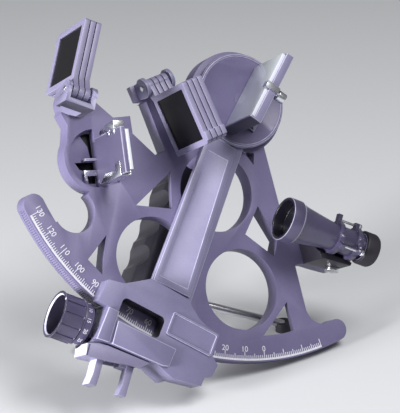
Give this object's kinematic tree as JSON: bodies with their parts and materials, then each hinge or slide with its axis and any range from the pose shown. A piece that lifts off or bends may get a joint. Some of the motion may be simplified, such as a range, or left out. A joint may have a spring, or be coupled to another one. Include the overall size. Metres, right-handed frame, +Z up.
{
  "type": "sextant",
  "caption": "Hand-held marine sextant with swinging index arm, micrometer drum, two mirrors, folding shades and a focusing telescope, on rest legs.",
  "frame": {"origin": "centre of the bounding box on the ground", "axes": "+Z up; -Y towards the observer, the side with the arm and the mirrors; +X to the telescope's eyepiece"},
  "size_m": [0.2476, 0.1585, 0.2535],
  "materials": {
    "frame_plastic": "grey-violet moulded plastic, satin",
    "rack_plastic": "moulded rack, satin",
    "scale_white": "white filled scale lines",
    "brass": "turned bush",
    "grip_black": "fine-grained black plastic",
    "steel": "turned steel",
    "rubber_black": "soft black rubber",
    "scope_dark": "dark satin plastic",
    "lens_glass": "coated lens",
    "mirror_glass": "silvered glass",
    "clip_metal": "bright spring metal",
    "shade_plastic": "grey-violet moulded plastic",
    "shade_glass": "dense dark shade glass",
    "arm_plastic": "grey-violet moulded plastic, fine texture",
    "housing_plastic": "grey-violet moulded plastic",
    "lever_plastic": "light grey-violet plastic",
    "drum_dark": "dark moulded plastic"
  },
  "bodies": {
    "root": {"frame": "frame_plastic", "arc_rack": "rack_plastic", "arc_scale": "scale_white", "pivot_bush": "brass", "handle_posts": "frame_plastic", "handle_grip": "grip_black", "rest_leg_left": "steel", "rest_leg_right": "steel", "rest_feet": "rubber_black", "telescope_bracket": "scope_dark", "clamp_screw": "steel", "telescope_body": "scope_dark", "objective_lens": "lens_glass", "telescope_collar": "frame_plastic", "collimation_screws": "steel", "horizon_mirror_holder": "frame_plastic", "horizon_mirror_glass": "mirror_glass", "horizon_mirror_clips": "clip_metal", "horizon_shade_bracket": "shade_plastic", "horizon_shade_pin": "steel", "index_shade_bracket": "shade_plastic", "index_shade_pin": "steel"},
    "index_arm": {"index_arm": "arm_plastic", "arm_panel": "arm_plastic", "index_disc": "frame_plastic", "pivot_shaft": "steel", "pivot_nut": "steel", "index_mirror_holder": "frame_plastic", "index_mirror_glass": "mirror_glass", "index_mirror_clip": "clip_metal", "index_mirror_screw": "clip_metal", "micrometer_housing": "housing_plastic", "worm_cover": "housing_plastic", "name_plate": "housing_plastic", "fixed_lever": "lever_plastic", "release_pin": "steel"},
    "worm_carrier": {"worm_carrier": "drum_dark", "release_lever": "lever_plastic"},
    "micrometer": {"worm_shaft": "steel", "micrometer_drum": "drum_dark", "dial_ring": "drum_dark"},
    "eyepiece": {"eyepiece_tube": "scope_dark", "eyecup": "rubber_black", "eye_lens": "lens_glass"},
    "index_shade_1": {"index_shade_1": "shade_plastic", "index_shade_glass_1": "shade_glass"},
    "index_shade_2": {"index_shade_2": "shade_plastic", "index_shade_glass_2": "shade_glass"},
    "index_shade_3": {"index_shade_3": "shade_plastic", "index_shade_glass_3": "shade_glass"},
    "index_shade_4": {"index_shade_4": "shade_plastic", "index_shade_glass_4": "shade_glass"},
    "horizon_shade_1": {"horizon_shade_1": "shade_plastic", "horizon_shade_glass_1": "shade_glass"},
    "horizon_shade_2": {"horizon_shade_2": "shade_plastic", "horizon_shade_glass_2": "shade_glass"},
    "horizon_shade_3": {"horizon_shade_3": "shade_plastic", "horizon_shade_glass_3": "shade_glass"}
  },
  "joints": [
    {"name": "index_arm_swing", "type": "hinge", "parent": "root", "child": "index_arm", "pos_m": [0.0665, 0.0214, 0.16448], "axis": [0, -0.866, 0.5], "range_deg": [-25, 39]},
    {"name": "worm_release", "type": "hinge", "parent": "index_arm", "child": "worm_carrier", "pos_m": [-0.08706, -0.04903, 0.04249], "axis": [0, -0.866, 0.5], "range_deg": [-2.5, 0], "stiffness_Nm_per_rad": 1, "springref_deg": 4.58},
    {"name": "micrometer_turn", "type": "hinge", "parent": "worm_carrier", "child": "micrometer", "pos_m": [-0.0435, -0.05124, 0.02966], "axis": [-0.8121, 0.2918, 0.5054], "continuous": true},
    {"name": "eyepiece_focus", "type": "slide", "parent": "root", "child": "eyepiece", "axis": [0.8339, -0.276, -0.478], "range_m": [-0.002, 0.003]},
    {"name": "index_shade_1_swing", "type": "hinge", "parent": "root", "child": "index_shade_1", "pos_m": [-0.00739, 0.02605, 0.19053], "axis": [-0.9937, -0.0561, -0.0971], "range_deg": [0, 90]},
    {"name": "index_shade_2_swing", "type": "hinge", "parent": "root", "child": "index_shade_2", "pos_m": [-0.00739, 0.02605, 0.19053], "axis": [-0.9937, -0.0561, -0.0971], "range_deg": [0, 90]},
    {"name": "index_shade_3_swing", "type": "hinge", "parent": "root", "child": "index_shade_3", "pos_m": [-0.00739, 0.02605, 0.19053], "axis": [-0.9937, -0.0561, -0.0971], "range_deg": [0, 90]},
    {"name": "index_shade_4_swing", "type": "hinge", "parent": "root", "child": "index_shade_4", "pos_m": [-0.00739, 0.02605, 0.19053], "axis": [-0.9937, -0.0561, -0.0971], "range_deg": [0, 90]},
    {"name": "horizon_shade_1_swing", "type": "hinge", "parent": "root", "child": "horizon_shade_1", "pos_m": [-0.08544, -0.00704, 0.21823], "axis": [-0.8484, 0.2647, 0.4585], "range_deg": [0, 90]},
    {"name": "horizon_shade_2_swing", "type": "hinge", "parent": "root", "child": "horizon_shade_2", "pos_m": [-0.08544, -0.00704, 0.21823], "axis": [-0.8484, 0.2647, 0.4585], "range_deg": [0, 90]},
    {"name": "horizon_shade_3_swing", "type": "hinge", "parent": "root", "child": "horizon_shade_3", "pos_m": [-0.08544, -0.00704, 0.21823], "axis": [-0.8484, 0.2647, 0.4585], "range_deg": [0, 90]}
  ]
}
